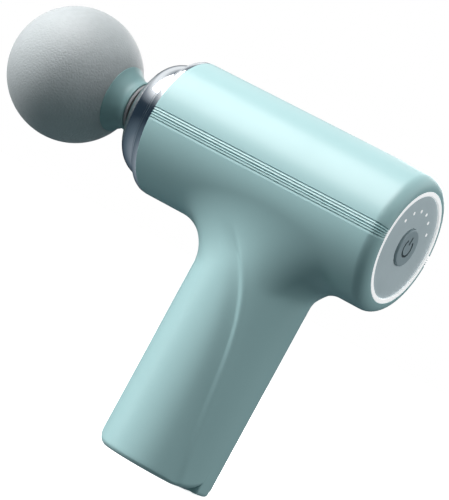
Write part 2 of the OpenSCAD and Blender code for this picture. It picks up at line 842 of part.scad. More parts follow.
module battery_cell_rear() color([0.2, 0.45, 0.6]) translate([pack_x - cell_x, 0, 0]) cell();

// End plates joined by two rails in the hollows between the cells.
module battery_holder() {
    low = cell_z - strip_t - holder_t;
    high = cell_z + cell_l + strip_t;
    color(black_tone) difference() {
        union() {
            for (z = [low, high]) translate([0, 0, z]) linear_extrude(height = holder_t)
                stadium(pack_x - cell_x, pack_x + cell_x, holder_r);
            for (side = [-1, 1]) translate([pack_x - rail_w / 2, side * 6.6 - rail_w / 2, low])
                cube([rail_w, rail_w, high - low + holder_t]);
            for (x = base_screw_x) translate([x, 0, plate_t + gap]) disc(boss_r, low - plate_t);
        }
        for (x = base_screw_x) translate([x, 0, 0]) disc(pilot_r, low + 1);
        translate([pack_x, 0, high - cut]) disc(2.5, holder_t + 2 * cut);
    }
}

// Spot-welded strips: one joins the cells below, two tabs lie above.
module nickel_strips() {
    color(chrome_tone) {
        translate([pack_x - cell_x - 3, -2.5, cell_z - strip_t]) cube([2 * cell_x + 6, 5, strip_t]);
        for (x = [-cell_x, cell_x]) translate([pack_x + x - 3, -2.5, cell_z + cell_l]) cube([6, 5, strip_t]);
    }
}

module usb_outline(inset) {
    rotate(90) stadium(-(usb_l - usb_w) / 2, (usb_l - usb_w) / 2, usb_w / 2 - inset);
}

module usb_socket() {
    color(chrome_tone) translate([usb_x, 0, usb_z]) {
        difference() {
            linear_extrude(height = usb_h) usb_outline(0);
            translate([0, 0, -cut]) linear_extrude(height = usb_h - 0.8 + cut) usb_outline(usb_wall);
        }
        translate([-0.35, -3.4, 1]) cube([0.7, 6.8, usb_h - 1.2]);
    }
}

module usb_board() {
    color([0.1, 0.35, 0.2]) translate([usb_x - 3.6, -7.5, usb_z + usb_h]) cube([7.2, 15, usb_board_t]);
}

module base_plate() {
    color(mint) difference() {
        union() {
            linear_extrude(height = plate_t) stadium(plate_rear, plate_front, plate_r);
            for (y = [-6.6, 5.4]) translate([usb_x - 3, y, plate_t]) cube([6, 1.2, usb_z + usb_h - plate_t]);
        }
        translate([usb_x, 0, -cut]) linear_extrude(height = plate_t + 2 * cut) usb_outline(-0.2);
        for (x = base_screw_x) {
            translate([x, 0, -cut]) disc(pilot_r + 0.1, plate_t + 2 * cut);
            translate([x, 0, -cut]) disc(head_r + 0.1, head_h + 0.3 + cut);
        }
    }
}

module base_screws() {
    color(steel_tone) for (x = base_screw_x) translate([x, 0, head_h + 0.3]) screw(8);
}

upper_housing();
lower_housing();
nose_flange();
nose_bezel();
dust_seal();
rear_trim_ring();
rear_panel();
panel_carrier();
power_button();
level_light_windows();
level_leds();
control_board();
board_parts();
tact_switch();
switch_plunger();
motor_bracket();
motor_base();
motor_bearings();
motor_stator();
motor_windings();
rotor_bell();
rotor_magnets();
motor_shaft();
crank_wheel();
crank_pin();
crank_roller();
drive_yoke();
plunger();
guide_housing();
front_bush();
rear_bush();
damper_rings();
head_stem();
stem_sleeve();
head_collar();
ball_core();
ball_skin();
battery_cell_front();
battery_cell_rear();
battery_holder();
nickel_strips();
usb_board();
usb_socket();
base_plate();
nose_screws();
rear_screws();
motor_screws();
bracket_screws();
board_screws();
base_screws();
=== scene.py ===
import json
import math

import bmesh
import bpy
import numpy as np
from mathutils import Matrix, Vector


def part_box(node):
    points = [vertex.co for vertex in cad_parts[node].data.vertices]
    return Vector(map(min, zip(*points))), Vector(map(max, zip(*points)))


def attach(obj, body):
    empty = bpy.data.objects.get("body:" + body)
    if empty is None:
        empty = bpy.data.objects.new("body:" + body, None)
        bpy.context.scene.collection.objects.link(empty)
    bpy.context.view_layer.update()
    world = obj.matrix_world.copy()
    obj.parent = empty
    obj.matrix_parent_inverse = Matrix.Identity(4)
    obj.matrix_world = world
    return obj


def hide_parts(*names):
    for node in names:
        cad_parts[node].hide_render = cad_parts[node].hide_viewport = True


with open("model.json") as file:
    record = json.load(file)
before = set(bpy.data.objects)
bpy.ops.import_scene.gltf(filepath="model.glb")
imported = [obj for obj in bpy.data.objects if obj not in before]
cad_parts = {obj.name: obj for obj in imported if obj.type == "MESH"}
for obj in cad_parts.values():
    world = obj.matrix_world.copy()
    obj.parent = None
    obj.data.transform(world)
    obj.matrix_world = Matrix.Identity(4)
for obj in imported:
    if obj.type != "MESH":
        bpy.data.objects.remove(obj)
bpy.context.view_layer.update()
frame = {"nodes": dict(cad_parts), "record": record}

# ---- sizes, in millimetres; the places come from the CAD nodes' boxes ----

MM = 0.001


def box_mm(node):
    """Lowest and highest corner of a CAD node, in millimetres."""
    low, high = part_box(node)
    return np.array(low) / MM, np.array(high) / MM


upper_low, upper_high = box_mm("upper_housing")
trim_low, trim_high = box_mm("rear_trim_ring")
panel_low, panel_high = box_mm("rear_panel")
GAP = 0.1                             # clearance round a piece that sits in another
TRIM_GAP = 0.05                       # the same on each side of the rear trim ring
WALL = 2.2

REAR_X, FRONT_X = float(upper_low[0]), float(upper_high[0])
BARREL_R = float(upper_high[1])
AXIS_Z = float(upper_high[2]) - BARREL_R
INNER_R = BARREL_R - WALL
REAR_ROUND, FRONT_EDGE = 4.3, 0.15    # rounding of the barrel's rear and front edges
TRIM_R, TRIM_REAR, TRIM_FRONT = trim_high[1], trim_low[0], trim_high[0]
PANEL_R, PANEL_REAR, PANEL_FRONT = panel_high[1], panel_low[0], panel_high[0]
LIP_R = 15.6                          # the lip of the shells that the panel rests on
LIP_REAR = TRIM_FRONT + GAP
LIP_FRONT = LIP_REAR + WALL

HANDLE_A, HANDLE_B = 19.6, 17.25      # half length and half width of the oval handle
FRONT_FILLET, REAR_FILLET, SIDE_FILLET = 12.8, 8.0, 44.0
TOE_ROUND = 7.2                       # lower corners of the handle in side view
FLOOR = 2.4
# the edge between the handle's side and its end: its round, and what the sides and the front add to it
EDGE_ROUND, SIDE_EDGE_ROUND, FRONT_EDGE_ROUND = 1.0, 0.5, 3.6

GROOVE_PITCH, GROOVE_DEPTH = 0.85, 0.34
GROOVE_LOW, GROOVE_HIGH = 0.43, 0.405     # how far a groove reaches down and up from its middle
GROOVE_BOTTOM, BOTTOM_HALF = 0.135, 0.03  # height of its deepest line over the middle, and half its width
GROOVE_SIDES = 2                      # grooves above, and below, the one at the parting line
BAND_HALF = 2.4
PARTING = 0.04                        # half the gap between the shells

X_STEPS = 96
UPPER_ARC_STEPS, LOWER_ARC_STEPS = 80, 64
ROUND_STEPS = 14
SEGMENTS, ROD_SEGMENTS = 256, 40
DIRECTIONS = 2880                     # directions round the handle that are tried for the opening's edge
MERGE, CUTTER_MERGE = 2e-6, 1e-7      # distances in metres at which doubled points are joined
CRISP = 32                            # degrees between faces from which an edge is sharp
CORNER_SHARE = 0.45                   # the most of a side that a round corner may take


# ---- outlines ----

def arc(cx, cr, radius, start, end, steps):
    """Points of an arc in an outline of (x, distance from the axis); angles in degrees."""
    angles = np.radians(np.linspace(start, end, steps + 1))
    return [(cx + radius * math.cos(t), cr + radius * math.sin(t)) for t in angles]


def rounded(corners, steps=4, closed=True):
    """An outline through corners of (x, r) or (x, r, round), each round corner drawn as an arc."""
    out = []
    count = len(corners)
    for i, corner in enumerate(corners):
        p = np.array(corner[:2], float)
        size = corner[2] if len(corner) > 2 else 0
        if size <= 0 or (not closed and i in (0, count - 1)):
            out.append(tuple(p))
            continue
        a = np.array(corners[i - 1][:2], float) - p
        b = np.array(corners[(i + 1) % count][:2], float) - p
        la, lb = np.linalg.norm(a), np.linalg.norm(b)
        a, b = a / la, b / lb
        half = math.acos(max(-1, min(1, float(a @ b)))) / 2
        reach = min(size / math.tan(half), CORNER_SHARE * la, CORNER_SHARE * lb)
        radius = reach * math.tan(half)
        middle = (a + b) / np.linalg.norm(a + b)
        centre = p + middle * radius / math.sin(half)
        start, end = p + a * reach - centre, p + b * reach - centre
        t0 = math.atan2(start[1], start[0])
        turn = math.atan2(end[1], end[0]) - t0
        turn = (turn + math.pi) % (2 * math.pi) - math.pi
        for k in range(steps + 1):
            t = t0 + turn * k / steps
            out.append((centre[0] + radius * math.cos(t), centre[1] + radius * math.sin(t)))
    return out


# ---- mesh making ----

def join_points(shape, merge=MERGE):
    """Joins doubled points of a mesh that is being edited, and drops the faces that shrink to nothing."""
    bmesh.ops.remove_doubles(shape, verts=shape.verts, dist=merge)
    bmesh.ops.dissolve_degenerate(shape, edges=shape.edges, dist=merge / 2)


def shade(mesh, crisp):
    """Smooth shading, with sharp edges where faces meet at more than crisp degrees."""
    mesh.shade_smooth()
    mesh.set_sharp_from_angle(angle=math.radians(crisp))


def add_object(name, data):
    made = bpy.data.objects.new(name, data)
    bpy.context.scene.collection.objects.link(made)
    return made


class Builder:
    """Collects grids and faces of one closed piece, in millimetres."""

    def __init__(self):
        self.points, self.faces = [], []

    def grid(self, places, wrap_rows=False, wrap_columns=False, skip=None):
        rows, columns = places.shape[:2]
        base = len(self.points)
        self.points.extend(places.reshape(-1, 3).tolist())
        for i in range(rows if wrap_rows else rows - 1):
            for j in range(columns if wrap_columns else columns - 1):
                if skip is not None and skip(i, j):
                    continue
                k, m = (i + 1) % rows, (j + 1) % columns
                self.faces.append((base + i * columns + j, base + i * columns + m,
                                   base + k * columns + m, base + k * columns + j))

    def polygon(self, places):
        base = len(self.points)
        self.points.extend([list(p) for p in places])
        self.faces.append(tuple(range(base, base + len(places))))

    def loft(self, rings, skip=None):
        """A run through closed rings of points, with both of its ends filled."""
        self.grid(np.array(rings), wrap_columns=True, skip=skip)
        self.polygon(rings[0])
        self.polygon(rings[-1])

    def mesh(self, name, merge=MERGE):
        """What was collected as one mesh in metres, its normals turned outwards."""
        mesh = bpy.data.meshes.new(name)
        mesh.from_pydata([Vector(p) * MM for p in self.points], [], self.faces)
        shape = bmesh.new()
        shape.from_mesh(mesh)
        join_points(shape, merge)
        loose = [v for v in shape.verts if not v.link_faces]
        bmesh.ops.delete(shape, geom=loose, context="VERTS")
        bmesh.ops.recalc_face_normals(shape, faces=shape.faces)
        shape.to_mesh(mesh)
        shape.free()
        return mesh

    def piece(self, name, body, slot, stands_for=(), crisp=CRISP, paint=None):
        """A finished piece on its body; paint is its material where that isn't its slot's."""
        mesh = self.mesh(name)
        shade(mesh, crisp)
        piece = add_object(name, mesh)
        mesh.materials.append(materials[paint or slot])
        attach(piece, body)
        if stands_for:
            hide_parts(*stands_for)
        return piece


def lathe_points(outline):
    """The outline turned about the barrel's axis: rows follow the outline, columns go round."""
    p = np.array(outline, float)
    t = np.linspace(0, 2 * math.pi, SEGMENTS, endpoint=False)
    x = np.repeat(p[:, :1], SEGMENTS, 1)
    return np.stack([x, p[:, 1:] * np.cos(t), AXIS_Z + p[:, 1:] * np.sin(t)], 2)


def turned(name, outline, body, slot, stands_for=(), closed=True, crisp=CRISP, paint=None):
    """A turned piece about the barrel's axis."""
    work = Builder()
    work.grid(lathe_points(outline), wrap_rows=closed, wrap_columns=True)
    return work.piece(name, body, slot, stands_for, crisp, paint)


# ---- materials ----

WHITE = (1.0, 1.0, 1.0, 1.0)
WORN_FROM, WORN_TO = 0.53, 0.6        # pointiness at which wear begins and is full
WORN_GAIN, WORN_LIFT = 1.25, 0.03     # how much lighter a colour is where it is worn
WEAR_SCALE, SMUDGE_SCALE = 350.0, 110.0   # features per metre of patchy wear and of uneven roughness

materials = {}


def nodes_of(name):
    """A new node material, its tree and its shader."""
    material = bpy.data.materials.new(name)
    material.use_nodes = True
    tree = material.node_tree
    shader = next(n for n in tree.nodes if n.type == "BSDF_PRINCIPLED")
    return material, tree, shader


def link(tree, a, b):
    tree.links.new(a, b)


def noise(tree, scale, detail=3.0, stretch=None, roughness=0.5):
    """Noise in the object's own coordinates; scale is in features per metre."""
    where = tree.nodes.new("ShaderNodeTexCoord")
    texture = tree.nodes.new("ShaderNodeTexNoise")
    texture.inputs["Scale"].default_value = scale
    texture.inputs["Detail"].default_value = detail
    texture.inputs["Roughness"].default_value = roughness
    source = where.outputs["Object"]
    if stretch:
        mapping = tree.nodes.new("ShaderNodeMapping")
        mapping.inputs["Scale"].default_value = stretch
        link(tree, source, mapping.inputs["Vector"])
        source = mapping.outputs["Vector"]
    link(tree, source, texture.inputs["Vector"])
    return texture.outputs["Fac"]


def cells(tree, scale):
    """Distance from the edges of small cells; scale is in cells per metre."""
    where = tree.nodes.new("ShaderNodeTexCoord")
    texture = tree.nodes.new("ShaderNodeTexVoronoi")
    texture.feature = "DISTANCE_TO_EDGE"
    texture.inputs["Scale"].default_value = scale
    link(tree, where.outputs["Object"], texture.inputs["Vector"])
    return texture.outputs["Distance"]


def ranged(tree, value, low, high, from_low=0.3, from_high=0.7):
    """The value's middle range spread from low to high."""
    node = tree.nodes.new("ShaderNodeMapRange")
    node.inputs["From Min"].default_value = from_low
    node.inputs["From Max"].default_value = from_high
    node.inputs["To Min"].default_value = low
    node.inputs["To Max"].default_value = high
    link(tree, value, node.inputs["Value"])
    return node.outputs["Result"]


def mixed(tree, factor, a, b):
    """A colour between a and b, each a colour or a socket; 6, 7 and 2 are the Mix node's colour sockets."""
    node = tree.nodes.new("ShaderNodeMix")
    node.data_type = "RGBA"
    for socket, value in ((node.inputs[6], a), (node.inputs[7], b)):
        if isinstance(value, bpy.types.NodeSocket):
            link(tree, value, socket)
        else:
            socket.default_value = (*value, 1.0)
    link(tree, factor, node.inputs[0])
    return node.outputs[2]


def bump(tree, shader, height, strength, distance, after=None):
    """Bumps the shader by a height, on top of the bump that came before it."""
    node = tree.nodes.new("ShaderNodeBump")
    node.inputs["Strength"].default_value = strength
    node.inputs["Distance"].default_value = distance
    link(tree, height, node.inputs["Height"])
    if after is not None:
        link(tree, after, node.inputs["Normal"])
    link(tree, node.outputs["Normal"], shader.inputs["Normal"])
    return node.outputs["Normal"]


def edge_wear(tree):
    """1 on worn convex edges, 0 elsewhere."""
    geometry = tree.nodes.new("ShaderNodeNewGeometry")
    return ranged(tree, geometry.outputs["Pointiness"], 0.0, 1.0, WORN_FROM, WORN_TO)


def surface(name, color, rough, metal=0.0, tint=0.05, tint_scale=60.0, grain=1500.0, grain_depth=0.00002,
            grain_strength=0.15, spread=0.06, smear=None, wear=0.25, coat=0.0, coat_rough=0.12, pattern=None,
            pattern_depth=0.00004, pattern_strength=0.3, sheen=0.0, glow=0.0):
    """One finish: mottled colour, uneven roughness, fine grain and lighter worn edges. Scales are in features
    per metre and depths in metres; smear stretches the grain along an axis."""
    material, tree, shader = nodes_of(name)
    shader.inputs["Metallic"].default_value = metal
    shader.inputs["IOR"].default_value = 1.5
    if coat:
        shader.inputs["Coat Weight"].default_value = coat
        shader.inputs["Coat Roughness"].default_value = coat_rough
    if sheen:
        shader.inputs["Sheen Weight"].default_value = sheen
        shader.inputs["Sheen Roughness"].default_value = 0.4
    # glow is painted light: an even emission that brightens the surface though nothing lights it
    if glow:
        shader.inputs["Emission Color"].default_value = WHITE
        shader.inputs["Emission Strength"].default_value = glow
    dark = tuple(c * (1 - tint) for c in color)
    light = tuple(min(1.0, c * (1 + tint)) for c in color)
    base = mixed(tree, ranged(tree, noise(tree, tint_scale, 4.0), 0.0, 1.0), dark, light)
    if wear:
        worn = tuple(min(1.0, c * WORN_GAIN + WORN_LIFT) for c in color)
        amount = tree.nodes.new("ShaderNodeMath")
        amount.operation = "MULTIPLY"
        link(tree, edge_wear(tree), amount.inputs[0])
        link(tree, ranged(tree, noise(tree, WEAR_SCALE, 5.0), 0.0, wear), amount.inputs[1])
        base = mixed(tree, amount.outputs[0], base, worn)
    link(tree, base, shader.inputs["Base Color"])
    uneven = noise(tree, SMUDGE_SCALE, 6.0, smear, 0.6)
    link(tree, ranged(tree, uneven, rough - spread, rough + spread), shader.inputs["Roughness"])
    normal = bump(tree, shader, noise(tree, grain, 4.0, smear), grain_strength, grain_depth)
    if pattern is not None:
        bump(tree, shader, pattern(tree), pattern_strength, pattern_depth, normal)
    materials[name] = material


def winding_lines(tree):
    """Fine lines that wander a little, like wound wire."""
    where = tree.nodes.new("ShaderNodeTexCoord")
    wave = tree.nodes.new("ShaderNodeTexWave")
    wave.bands_direction = "Z"
    wave.inputs["Scale"].default_value = 700.0
    wave.inputs["Distortion"].default_value = 1.5
    link(tree, where.outputs["Object"], wave.inputs["Vector"])
    return wave.outputs["Fac"]


def make_materials():
    """Every material slot of the record, and three more paints: a darker copy of the mint for the collar,
    painted shade; a glowing white for the trim ring and the light windows, painted light; and the mark.
    """
    mint = dict(tint=0.012, tint_scale=45.0, grain=5200.0, grain_depth=0.00001, grain_strength=0.12,
                spread=0.03, wear=0.12)
    white = dict(tint=0.01, grain=2600.0, grain_strength=0.08, wear=0.05)
    surface("mint_shell", (0.345, 0.545, 0.553), 0.42, coat=0.3, coat_rough=0.22, **mint)
    # a darker copy of the mint shell for the collar, which is the same mint: painted shade
    surface("mint_painted_shade", (0.2, 0.345, 0.35), 0.5, **mint)
    surface("chrome_plating", (0.84, 0.87, 0.9), 0.13, metal=1.0, tint=0.01, grain=900.0,
            grain_depth=0.000004, grain_strength=0.03, spread=0.03, wear=0.0)
    surface("white_plastic", (0.88, 0.9, 0.9), 0.32, **white)
    # the white plastic with an even glow: painted light on the trim ring and the light windows, which no lamp
    # lights
    surface("white_plastic_painted_glow", (0.88, 0.9, 0.9), 0.32, glow=0.42, **white)
    surface("panel_grey", (0.57, 0.68, 0.71), 0.38, tint=0.03, tint_scale=120.0, grain=5000.0,
            grain_depth=0.00002, grain_strength=0.25, spread=0.04, wear=0.2)
    surface("button_grey", (0.33, 0.42, 0.45), 0.4, tint=0.04, grain=4200.0, grain_strength=0.2, wear=0.3)
    surface("black_plastic", (0.02, 0.021, 0.023), 0.45, tint=0.1, grain=2600.0, grain_strength=0.3)
    surface("black_rubber", (0.022, 0.022, 0.024), 0.62, tint=0.12, grain=2600.0, grain_strength=0.4,
            sheen=0.1)
    surface("grey_rubber", (0.22, 0.23, 0.24), 0.62, tint=0.06, grain=2600.0, grain_strength=0.4, sheen=0.1)
    surface("ball_rubber", (0.385, 0.425, 0.432), 0.55, tint=0.035, tint_scale=500.0, grain=1900.0,
            grain_depth=0.00016, grain_strength=0.35, spread=0.05, wear=0.0, sheen=0.08,
            pattern=lambda t: ranged(t, cells(t, 850.0), 0.0, 1.0, 0.0, 0.35),
            pattern_depth=0.00012, pattern_strength=0.4)
    surface("plunger_metal", (0.17, 0.165, 0.165), 0.34, metal=0.85, tint=0.06, grain=900.0,
            smear=(6.0, 0.4, 0.4), grain_strength=0.12, wear=0.35)
    surface("cast_aluminium", (0.62, 0.63, 0.64), 0.44, metal=1.0, tint=0.06, grain=1300.0,
            grain_depth=0.00005, grain_strength=0.4, wear=0.3)
    surface("steel", (0.52, 0.525, 0.54), 0.28, metal=1.0, tint=0.05, smear=(1.0, 1.0, 8.0), grain=1200.0,
            grain_strength=0.1, wear=0.3)
    surface("copper_wire", (0.68, 0.3, 0.14), 0.32, metal=1.0, tint=0.1, grain=1500.0,
            pattern=winding_lines, pattern_depth=0.00012, pattern_strength=0.6)
    surface("bush_polymer", (0.74, 0.69, 0.52), 0.38, tint=0.04, grain=2200.0, grain_strength=0.1)
    surface("circuit_board", (0.02, 0.13, 0.06), 0.36, tint=0.18, tint_scale=420.0, grain=1500.0, coat=0.3,
            pattern=lambda t: cells(t, 420.0), pattern_depth=0.00003)
    surface("cell_wrap", (0.04, 0.16, 0.26), 0.26, tint=0.06, grain=600.0, smear=(1.0, 1.0, 0.15),
            grain_depth=0.00003, grain_strength=0.2, coat=0.4)
    surface("mark_paint", (0.05, 0.068, 0.075), 0.5, tint=0.06, grain=3000.0, wear=0.1)


def paint_cad_nodes():
    """Gives every CAD node the material of its slot in the record."""
    for part in frame["record"]["subparts"]:
        node = frame["nodes"][part["node"]]
        node.data.materials.clear()
        node.data.materials.append(materials[part["material_slot"]])


make_materials()
paint_cad_nodes()


# ---- shells ----

def groove_stations(side):
    """(distance from the parting line, depth) across half of the groove band, in order. Each groove has a
    short steep wall above and a longer one below; side is 1 above the parting line and -1 below it."""
    near, far = (GROOVE_LOW, GROOVE_HIGH) if side > 0 else (GROOVE_HIGH, GROOVE_LOW)
    out = [(PARTING, GROOVE_DEPTH)]
    if side > 0:
        out.append((GROOVE_BOTTOM, GROOVE_DEPTH))
    out.append((far, 0.0))
    for i in range(1, GROOVE_SIDES + 1):
        middle = i * GROOVE_PITCH
        deepest = middle + side * GROOVE_BOTTOM
        out += [(middle - near, 0.0), (deepest - BOTTOM_HALF, GROOVE_DEPTH),
                (deepest + BOTTOM_HALF, GROOVE_DEPTH), (middle + far, 0.0)]
    return out + [(BAND_HALF, 0.0)]


def sweep_stations(steps, side):
    """(angle, groove depth) over a half turn from one parting line to the other, and the index at which the
    plain part between the two groove bands begins."""
    band = [(s / BARREL_R, d) for s, d in groove_stations(side)]
    first, last = band[-1][0], math.pi - band[-1][0]
    between = [(first + (last - first) * k / steps, 0.0) for k in range(1, steps)]
    return band + between + [(math.pi - a, d) for a, d in reversed(band)], len(band) - 1


def shell_outline():
    """The barrel's section as rows of (x, r, normal x, normal r, 1 where grooves are cut), and the indices at
    which its plain outer run and its inner run begin."""
    round_x, round_r = REAR_X + REAR_ROUND, BARREL_R - REAR_ROUND
    seat_r = TRIM_R + TRIM_GAP
    rim = 180 - math.degrees(math.asin((seat_r - round_r) / REAR_ROUND))
    points = [(FRONT_X, INNER_R, 0, 0, 0), (FRONT_X, BARREL_R - FRONT_EDGE, 0, 1, 1)]
    first_outer = len(points)
    for x in np.linspace(FRONT_X - FRONT_EDGE, round_x, X_STEPS + 1):
        points.append((x, BARREL_R, 0, 1, 1))
    for t in np.radians(np.linspace(90, rim, ROUND_STEPS + 1))[1:]:
        c, s = math.cos(t), math.sin(t)
        points.append((round_x + REAR_ROUND * c, round_r + REAR_ROUND * s, c, s, 1))
    points += [(LIP_REAR, seat_r, 0, 0, 0), (LIP_REAR, LIP_R, 0, 0, 0), (LIP_FRONT, LIP_R, 0, 0, 0)]
    first_inner = len(points)
    for x in np.linspace(LIP_FRONT, FRONT_X, X_STEPS + 1)[:-1]:
        points.append((x, INNER_R, 0, 0, 0))
    return np.array(points, float), first_outer, first_inner


def barrel_grid(stations, side):
    """The barrel's section swept over half a turn, above the parting line (side 1) or below it (side -1)."""
    outline, first_outer, first_inner = shell_outline()
    rows = []
    for angle, depth in stations:
        x = outline[:, 0] - outline[:, 2] * depth * outline[:, 4]
        r = outline[:, 1] - outline[:, 3] * depth * outline[:, 4]
        rows.append(np.stack([x, r * math.cos(angle), AXIS_Z + side * r * math.sin(angle)], 1))
    return np.array(rows), first_outer, first_inner


def make_upper_shell():
    stations, _ = sweep_stations(UPPER_ARC_STEPS, 1)
    places, _, _ = barrel_grid(stations, 1)
    work = Builder()
    work.loft(places)
    work.piece("shell_upper", "root", "mint_shell", ["upper_housing"])


# (height, direction round the handle in degrees) along the soft crease on each side of the handle
CREASE_LINE = [(2, 138), (25, 126.5), (45, 118), (62, 102), (77, 69)]
CREASE_FIT = np.polyfit([p[0] for p in CREASE_LINE], [p[1] for p in CREASE_LINE], len(CREASE_LINE) - 1)
CREASE_DEPTH_TOP, CREASE_DEPTH_FOOT = 0.62, 0.3
CREASE_LOW, CREASE_RISE = 8, 50       # height at which it starts to deepen, and the rise to its full depth
CREASE_END, CREASE_FADE = 79, 9       # height at which it ends, and how far below that it starts to fade
SCOOP_FRONT, SCOOP_REAR = 3.6, 0.8    # widths of the hollow in front of its line and behind it
RIDGE_SHARE, RIDGE_AT, RIDGE_WIDTH = 0.3, 1.7, 1.3    # the low swelling behind the line


def crease(places):
    """How far the soft crease on each side of the handle moves the surface outwards."""
    z = places[..., 2]
    azimuth = np.degrees(np.arctan2(np.abs(places[..., 1]) / HANDLE_B, places[..., 0] / HANDLE_A))
    line = np.polyval(CREASE_FIT, np.clip(z, 0, CREASE_END - 1))
    s = np.radians(azimuth - line) * (HANDLE_A + HANDLE_B) / 2
    scoop = np.where(s < 0, np.exp(-(s / SCOOP_FRONT) ** 2), np.exp(-(s / SCOOP_REAR) ** 2))
    ridge = np.exp(-((s - RIDGE_AT) / RIDGE_WIDTH) ** 2)
    share = np.clip((z - CREASE_LOW) / CREASE_RISE, 0, 1)
    depth = CREASE_DEPTH_FOOT + (CREASE_DEPTH_TOP - CREASE_DEPTH_FOOT) * share
    fade = np.clip((CREASE_END - z) / CREASE_FADE, 0, 1)
    fade = fade * fade * (3 - 2 * fade)
    return (-scoop + RIDGE_SHARE * ridge) * depth * fade


def toe_height(x):
    """Height of the handle's end under each x."""
    beyond = np.clip(np.abs(x) - (HANDLE_A - TOE_ROUND), 0, TOE_ROUND)
    return TOE_ROUND - np.sqrt(TOE_ROUND ** 2 - beyond ** 2)


def around_by_angle(loop, angles, centre):
    """Points of a closed loop in the directions given, seen from the centre."""
    seen = np.arctan2(loop[:, 1] - centre[1], loop[:, 0] - centre[0])
    order = np.argsort(seen)
    seen, loop = seen[order], loop[order]
    columns = [np.interp(angles, seen, loop[:, k], period=2 * math.pi) for k in range(loop.shape[1])]
    return np.stack(columns, 1)


def foot(psi):
    """At each direction round the handle: a point of its wall and the outward normal there; the radius and
    place (x, y) of the ball that rolls in the corner between wall and barrel; the ball's height; and the
    angle from straight down at which it touches the barrel."""
    wall = np.stack([HANDLE_A * np.cos(psi), HANDLE_B * np.sin(psi)], 1)
    n = np.stack([HANDLE_B * np.cos(psi), HANDLE_A * np.sin(psi)], 1)
    n /= np.linalg.norm(n, axis=1)[:, None]
    along = np.where(n[:, 0] > 0, FRONT_FILLET, REAR_FILLET)
    radius = along + (SIDE_FILLET - along) * n[:, 1] ** 4
    centre = wall + n * radius[:, None]
    rise = np.sqrt((BARREL_R + radius) ** 2 - centre[:, 1] ** 2)
    theta = np.arctan2(centre[:, 1], rise)
    return wall, n, radius, centre, AXIS_Z - rise, theta


def slerp(a, b, share):
    """Unit vectors from a to b, one row for each share."""
    tiny = 1e-6
    angle = np.arccos(np.clip((a * b).sum(1), -1, 1))[:, None]
    safe = np.where(angle < tiny, 1.0, np.sin(angle))
    rows = []
    for w in share:
        turned_by = (np.sin((1 - w) * angle) * a + np.sin(w * angle) * b) / safe
        rows.append(np.where(angle < tiny, a, turned_by))
    return np.array(rows)


def on_barrel(x, s, radius):
    """A point of the barrel's surface, s being the angle from straight down."""
    return np.stack([x, radius * np.sin(s), AXIS_Z - radius * np.cos(s)], -1)


def stadium_loop(x0, x1, radius, count=720):
    """A flat shape with two round ends, as a loop of points."""
    t = np.linspace(-math.pi, math.pi, count, endpoint=False)
    x = np.where(np.abs(t) < math.pi / 2, x1, x0) + radius * np.cos(t)
    return np.stack([x, radius * np.sin(t)], 1)


def shares(steps):
    """Fractions of the way in equal steps, without the start."""
    return np.linspace(0, 1, steps + 1)[1:]


def lifted(flat, z):
    """Flat points (x, y) at the heights z."""
    return np.concatenate([flat, z[:, None]], 1)


OPENING_MIDDLE = 2.4                  # x from which the opening's edge is seen in the handle's directions
# rows of points, in the order in which the lower shell is drawn round the opening
BARREL_ROWS, CORNER_ROWS, HANDLE_ROWS, EDGE_ROWS, END_ROWS = 22, 18, 84, 8, 9
INNER_HANDLE_ROWS, INNER_CORNER_ROWS, INNER_BARREL_ROWS = 12, 10, 8
LIP_ROUND = 0.15                      # bevel round the hole for the base plate


def opening_loop(angles, x_first, x_last):
    """The edge of the opening as (x, angle from straight down), once round it."""
    x_run = np.linspace(x_first, x_last, X_STEPS + 1)
    left = [(x, angles[0]) for x in x_run[:-1]]
    rear = [(x_last, a) for a in angles[:-1]]
    right = [(x, -angles[0]) for x in x_run[::-1][:-1]]
    front = [(x_first, a) for a in angles[::-1][:-1]]
    return np.array(left + rear + right + front)


def handle_directions(edge):
    """The direction round the handle that belongs to each point of the opening's edge."""
    dense = np.linspace(-math.pi, math.pi, DIRECTIONS, endpoint=False)
    _, _, _, centre, _, theta = foot(dense)
    seen = np.arctan2(theta * BARREL_R, centre[:, 0] - OPENING_MIDDLE)
    wanted = np.arctan2(edge[:, 1] * BARREL_R, edge[:, 0] - OPENING_MIDDLE)
    psi = np.interp(wanted, seen, dense)
    psi[np.abs(wanted) > math.pi - 1e-9] = -math.pi
    return psi


def end_edge(wall, n):
    """The round between the handle's side and its end: its middle (x, y), height, radius and way down."""
    radius = EDGE_ROUND + SIDE_EDGE_ROUND * n[:, 1] ** 2 + FRONT_EDGE_ROUND * np.clip(n[:, 0], 0, 1) ** 4
    inset = wall - n * radius[:, None]
    beyond = np.clip(np.abs(inset[:, 0]) - (HANDLE_A - TOE_ROUND), 0, None)
    room = TOE_ROUND - radius
    height = TOE_ROUND - np.sqrt(np.maximum(room ** 2 - beyond ** 2, 0))
    down = np.stack([np.sign(inset[:, 0]) * beyond / room, 0 * room, (height - TOE_ROUND) / room], 1)
    return inset, height, radius, down


def end_rows(end_loop):
    """The handle's end, from the loop round it to the hole for the base plate and up through the floor."""
    low, high = box_mm("base_plate")
    hole_r = high[1] + GAP
    hole = stadium_loop(low[0] - GAP + hole_r, high[0] + GAP - hole_r, hole_r)
    middle = ((low[0] + high[0]) / 2, 0.0)
    seen = np.arctan2(end_loop[:, 1] - middle[1], end_loop[:, 0] - middle[0])
    hole = around_by_angle(hole, seen, middle)
    rows = []
    for w in shares(END_ROWS):
        flat = end_loop * (1 - w) + hole * w
        rows.append(lifted(flat, toe_height(flat[:, 0])))
    lip = rows[-1].copy()
    lip[:, 2] += LIP_ROUND
    rows[-1][:, :2] += LIP_ROUND * (hole - middle) / np.linalg.norm(hole - middle, axis=1)[:, None]
    rows[-1][:, 2] = toe_height(rows[-1][:, 0])
    return rows + [lip, lifted(hole, np.full(len(hole), FLOOR))]


